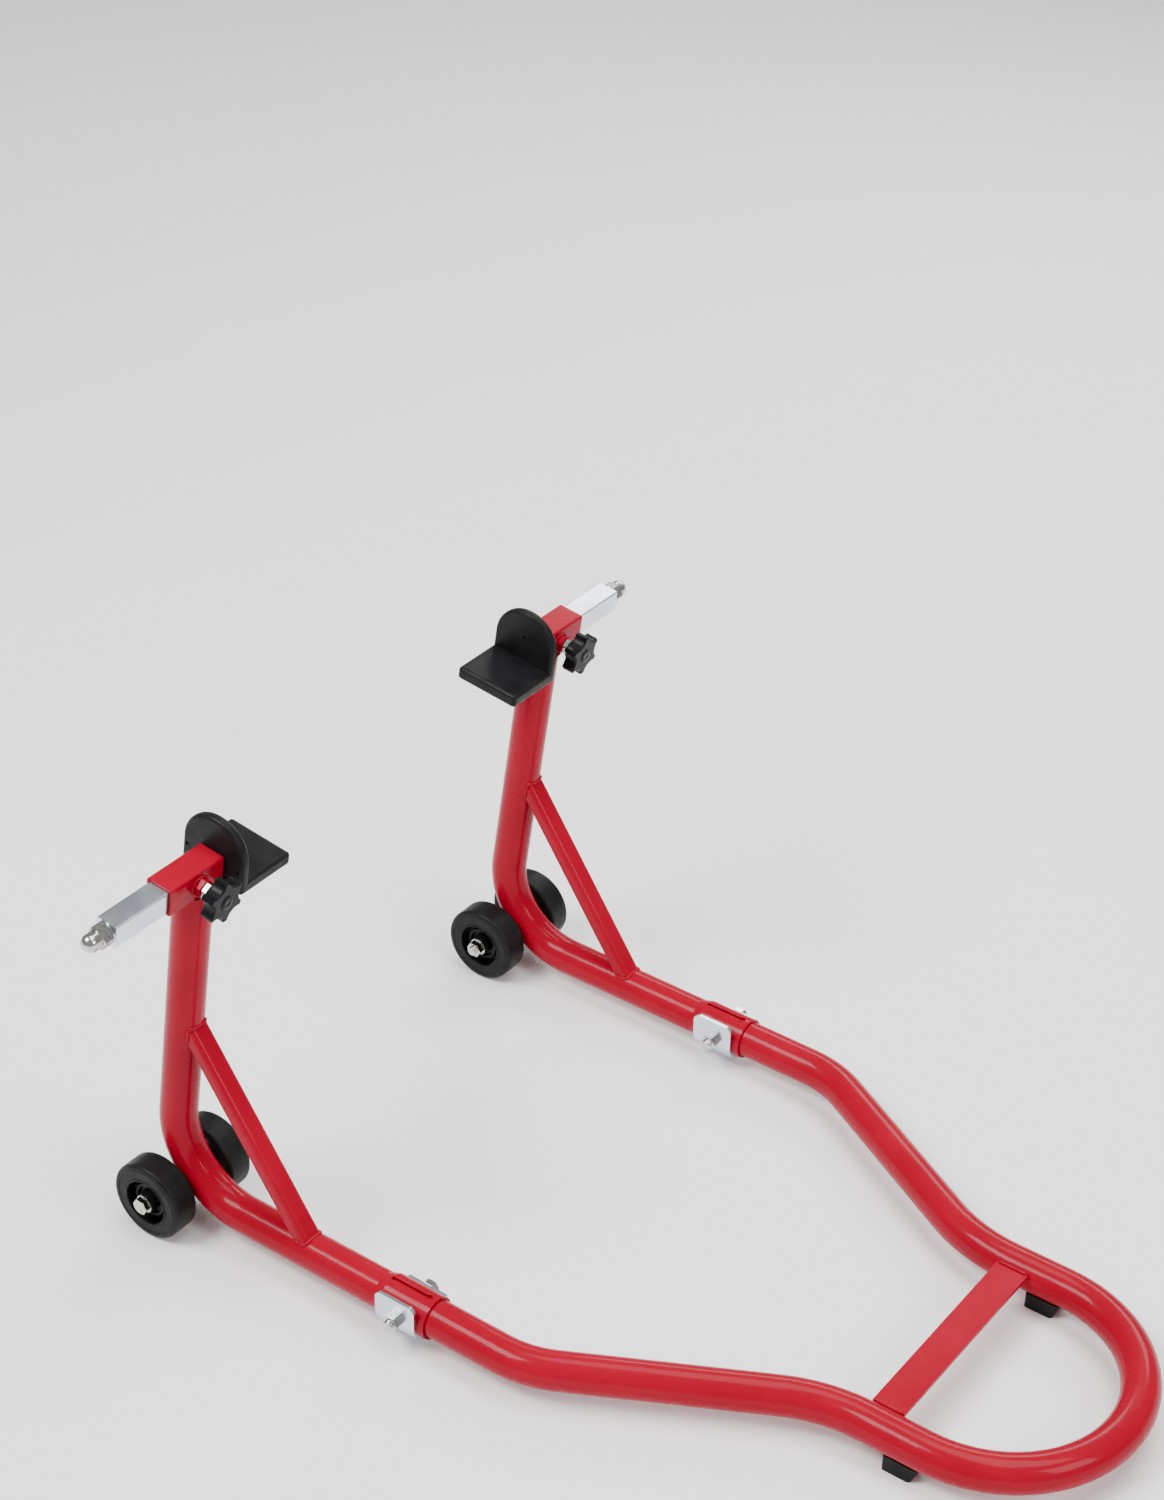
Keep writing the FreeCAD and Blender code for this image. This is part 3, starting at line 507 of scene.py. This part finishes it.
def nut_weld(name):
    """Round the foot of the clamp screw's weld nut."""
    centre, forward, up = head_frame(name)
    nut = middle("clamp_nut_" + name)
    base = Vector((centre.x, nut.y, centre.z)) + forward * (RECEIVER_HALF + 0.0004)
    points = []
    for step in range(36):
        angle = 2 * math.pi * step / 36
        reach = NUT_REACH + NUT_SWING * math.sin(3 * angle)
        points.append(base + Vector((0, math.cos(angle) * reach, 0)) + up * (math.sin(angle) * reach))
    bead("weld_clamp_nut_" + name, points, NUT_BEAD, "frame")


# ---------------------------------------------------------------- wheels, knobs, fasteners

def wheel_details(label):
    """Moulded rings on both sidewalls and a rounded lip at the hub's edge."""
    centre = middle("tyre_" + label)
    low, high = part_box("tyre_" + label)
    half = (high[1] - low[1]) / 2
    for face in (-1, 1):
        tag = "a" if face < 0 else "b"
        axis = Vector((0, face, 0))
        for kind, profile, slot_name in (("tyre_ring", TYRE_RING, "tyre_rubber"),
                                         ("hub_lip", HUB_LIP, "hub_plastic")):
            section = [(half + out, radius) for out, radius in profile]
            turned("%s_%s_%s" % (kind, tag, label), centre, axis, section, "wheel_" + label, slot_name)


def knob_details(name):
    """A domed cap on the knob's outer face."""
    centre, forward, _ = head_frame(name)
    knob = middle("knob_" + name)
    base = Vector((centre.x, knob.y, centre.z)) + forward * KNOB_FACE
    turned("knob_cap_" + name, base, forward, KNOB_CAP, "hand_knob_" + name, "knob_plastic", 48)


def bolt_threads(name, side):
    """Threads on the bolt ends that stand out of the coupling's nut and the axle's nut."""
    bolt = middle("coupling_bolt_" + name)
    start = Vector((bolt.x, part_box("coupling_nut_" + name)[0][1], bolt.z))
    length = start.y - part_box("coupling_bolt_" + name)[0][1]
    thread("coupling_thread_" + name, start, Vector((0, -1, 0)), length, BOLT_RADIUS, BOLT_PITCH, "frame")
    inward_corner = 1 if side < 0 else 0
    axle = middle("axle_nut_" + name)
    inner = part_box("axle_nut_" + name)[inward_corner][1]
    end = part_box("axle_bolt_" + name)[inward_corner][1]
    start = Vector((axle.x, inner, axle.z))
    thread("axle_thread_" + name, start, Vector((0, -side, 0)), abs(end - inner), BOLT_RADIUS, BOLT_PITCH, "frame")


# ---------------------------------------------------------------- studio

def aim(position, azimuth, elevation, roll):
    """World matrix of something at position that looks down its own -Z."""
    right = Vector((math.cos(azimuth), math.sin(azimuth), 0))
    back = Vector((math.sin(azimuth) * math.cos(elevation), -math.cos(azimuth) * math.cos(elevation),
                   math.sin(elevation)))
    up = back.cross(right)
    turned_right = right * math.cos(roll) + up * math.sin(roll)
    turned_up = up * math.cos(roll) - right * math.sin(roll)
    rotation = Matrix((turned_right, turned_up, back)).transposed().to_4x4()
    return Matrix.Translation(position) @ rotation


def add_camera():
    data = bpy.data.cameras.new("camera")
    data.lens = CAMERA_LENS
    data.sensor_width = SENSOR_WIDTH
    data.clip_end = 50
    camera = bpy.data.objects.new("camera", data)
    bpy.context.scene.collection.objects.link(camera)
    camera.matrix_world = aim(Vector(CAMERA_POSITION), *(math.radians(turn) for turn in CAMERA_TURN))
    bpy.context.scene.camera = camera


def add_light(name, position, size, power):
    data = bpy.data.lights.new(name, "AREA")
    data.shape = "RECTANGLE"
    data.size, data.size_y = size
    data.energy = power
    light = bpy.data.objects.new(name, data)
    bpy.context.scene.collection.objects.link(light)
    light.location = position
    light.rotation_euler = (Vector(LIGHT_TARGET) - Vector(position)).to_track_quat("-Z", "Y").to_euler()


def add_studio():
    """White world light, four area lights and a pale floor."""
    world = bpy.data.worlds.new("studio")
    bpy.context.scene.world = world
    world.use_nodes = True
    world.node_tree.nodes["Background"].inputs["Color"].default_value = (1, 1, 1, 1)
    world.node_tree.nodes["Background"].inputs["Strength"].default_value = WORLD_STRENGTH
    for light in LIGHTS:
        add_light(*light)
    mesh = bpy.data.meshes.new("floor")
    corners = [(FLOOR_REACH * x, FLOOR_REACH * y, 0) for x, y in ((-1, -1), (1, -1), (1, 1), (-1, 1))]
    mesh.from_pydata(corners, [], [(0, 1, 2, 3)])
    floor = bpy.data.objects.new("floor", mesh)
    bpy.context.scene.collection.objects.link(floor)
    recipe = Recipe("floor_paint", 0.7, specular=0.2)
    recipe.colour(recipe.noise(3, 2), (0.94, 0.94, 0.94), (0.96, 0.96, 0.96))
    floor.data.materials.append(recipe.material)


dress_nodes()
plate_welds()
for arm, arm_side in SIDES.items():
    receiver_weld(arm)
    brace_welds(arm)
    sleeve_weld(arm)
    nut_weld(arm)
    knob_details(arm)
    bolt_threads(arm, arm_side)
    for where in ("outer", "inner"):
        wheel_details("%s_%s" % (arm, where))
add_camera()
add_studio()
